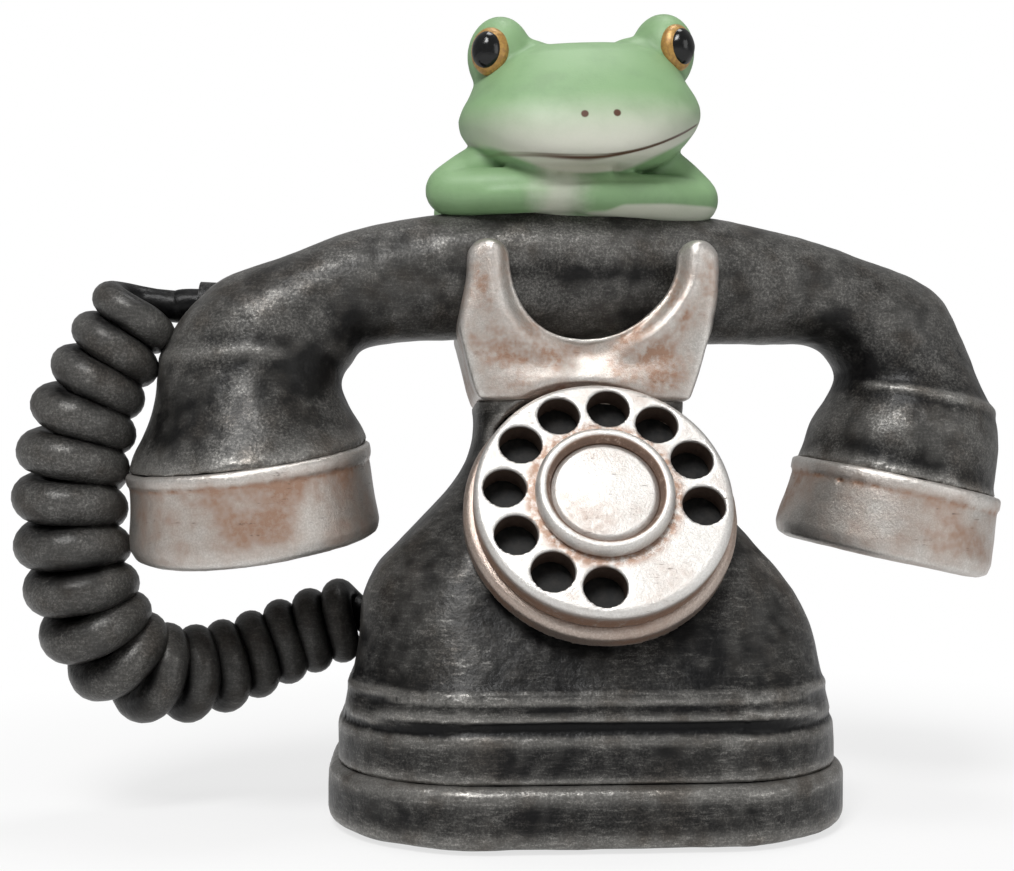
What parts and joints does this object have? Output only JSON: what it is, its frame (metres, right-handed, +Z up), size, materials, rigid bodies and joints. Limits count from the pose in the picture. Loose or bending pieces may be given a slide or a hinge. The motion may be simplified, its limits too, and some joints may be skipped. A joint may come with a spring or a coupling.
{
  "type": "novelty telephone",
  "caption": "Rotary dial telephone with a stepped foot, a forked cradle, a lift-off handset on a curly cord and a frog figure leaning over the handset bar.",
  "frame": {"origin": "middle of the telephone's box, without its cord, on the surface that it stands on", "axes": "+Z up, -Y towards the dial, +X to the right as seen from the dial side"},
  "size_m": [0.2653, 0.1124, 0.2118],
  "materials": {
    "black_shell": "black paint, dry-brushed with silver",
    "silver_trim": "silver paint with a brown rub in the hollows",
    "dark_plate": "matt black",
    "frog_green": "satin green paint, pale under the chin",
    "eye_gold": "gold paint",
    "eye_black": "gloss black",
    "cord_black": "satin black",
    "foot_rubber": "matt",
    "inner_plastic": "moulded",
    "board_green": "lacquered",
    "steel": "bright",
    "brass": "bright"
  },
  "bodies": {
    "base": {"base_tray": "black_shell", "rubber_feet": "foot_rubber", "housing_screws": "steel", "line_jack": "inner_plastic", "housing_shell": "black_shell", "cradle": "silver_trim", "cradle_screws": "steel", "hook_bracket": "steel", "plunger_spring": "steel", "hook_contacts": "inner_plastic", "dial_bezel": "silver_trim", "number_plate": "dark_plate", "dial_frame": "steel", "dial_bush": "brass", "dial_back_plate": "steel", "dial_pillars": "steel", "stop_post": "steel", "governor_cup": "inner_plastic", "return_spring": "steel", "pulse_contacts": "inner_plastic", "dial_fixing_screws": "steel", "gong_left": "brass", "gong_right": "brass", "gong_posts": "steel", "ringer_frame": "steel", "ringer_coils": "brass", "circuit_board": "board_green", "board_standoffs": "steel", "transformer": "steel", "capacitor": "inner_plastic", "terminal_block": "inner_plastic", "curly_cord": "cord_black", "cord_sleeve_base": "cord_black"},
    "dial": {"finger_wheel": "silver_trim", "hub_ring": "silver_trim", "hub_cap": "silver_trim", "dial_shaft": "steel", "main_gear": "brass"},
    "pinion": {"pulse_pinion": "steel"},
    "plunger": {"hook_plunger": "inner_plastic"},
    "clapper": {"ringer_clapper": "steel"},
    "handset": {"handset_shell": "black_shell", "transmitter_cap": "silver_trim", "transmitter_capsule": "inner_plastic", "receiver_cap": "silver_trim", "receiver_capsule": "inner_plastic", "handset_lead": "cord_black", "frog_figure": "frog_green", "frog_eye_rings": "eye_gold", "frog_eyes": "eye_black", "frog_dowels": "steel", "cord_sleeve_handset": "cord_black"}
  },
  "joints": [
    {"name": "handset_lift", "type": "slide", "parent": "base", "child": "handset", "axis": [0, 0, 1], "range_m": [0, 0.06], "deforming": ["curly_cord"]},
    {"name": "dial_turn", "type": "hinge", "parent": "base", "child": "dial", "pos_m": [0, -0.0424, 0.0836], "axis": [0, 0.887, -0.4617], "range_deg": [0, 330], "stiffness_Nm_per_rad": 0.006, "springref_deg": -28.65, "deforming": ["return_spring"]},
    {"name": "pinion_spin", "type": "hinge", "parent": "base", "child": "pinion", "pos_m": [0.0216, -0.0424, 0.0836], "axis": [0, 0.887, -0.4617], "range_deg": [-1660, 10]},
    {"name": "hook_slide", "type": "slide", "parent": "base", "child": "plunger", "axis": [0, 0, 1], "range_m": [0, 0.004], "deforming": ["plunger_spring"]},
    {"name": "clapper_swing", "type": "hinge", "parent": "base", "child": "clapper", "pos_m": [0, 0.022, 0.027], "axis": [0, 1, 0], "range_deg": [-7, 7], "stiffness_Nm_per_rad": 0.005}
  ],
  "couplings": [
    {"joint": "pinion_spin", "follows": "dial_turn", "ratio": -5},
    {"joint": "hook_slide", "follows": "handset_lift", "ratio": 0.0666}
  ]
}
